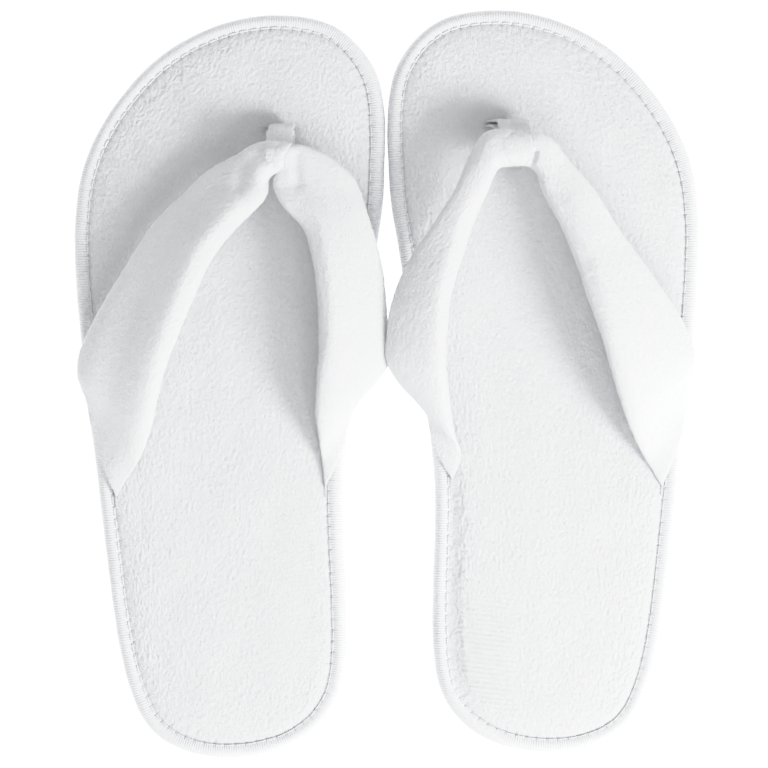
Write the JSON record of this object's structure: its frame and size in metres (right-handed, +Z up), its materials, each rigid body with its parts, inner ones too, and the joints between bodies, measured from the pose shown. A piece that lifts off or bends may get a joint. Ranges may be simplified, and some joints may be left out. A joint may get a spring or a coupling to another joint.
{
  "type": "spa slippers",
  "caption": "Pair of flat thong slippers: cushioned fleece sole with a bound edge, padded strap in two arms meeting in a toe loop.",
  "frame": {"origin": "on the floor, midway across and along the pair", "axes": "+X from the left slipper to the right one, +Y towards the toes, +Z up"},
  "size_m": [0.228, 0.2728, 0.036],
  "materials": {
    "eva_sole": "matte",
    "pad_foam": "matte",
    "fleece": "matte",
    "binding_tape": "matte",
    "thread": "matte",
    "strap_foam": "matte"
  },
  "bodies": {
    "right_slipper": {"right_outsole": "eva_sole", "right_foam_pad": "pad_foam", "right_insole_cover": "fleece", "right_edge_binding": "binding_tape", "right_edge_stitching": "thread", "right_outer_strap_cover": "fleece", "right_outer_strap_padding": "strap_foam", "right_outer_strap_tack": "thread", "right_inner_strap_cover": "fleece", "right_inner_strap_padding": "strap_foam", "right_inner_strap_tack": "thread", "right_toe_loop": "fleece"},
    "left_slipper": {"left_outsole": "eva_sole", "left_foam_pad": "pad_foam", "left_insole_cover": "fleece", "left_edge_binding": "binding_tape", "left_edge_stitching": "thread", "left_outer_strap_cover": "fleece", "left_outer_strap_padding": "strap_foam", "left_outer_strap_tack": "thread", "left_inner_strap_cover": "fleece", "left_inner_strap_padding": "strap_foam", "left_inner_strap_tack": "thread", "left_toe_loop": "fleece"}
  },
  "joints": [
    {"name": "slippers_apart", "type": "slide", "parent": "right_slipper", "child": "left_slipper", "axis": [-1, 0, 0], "range_m": [0, 0.15]}
  ]
}
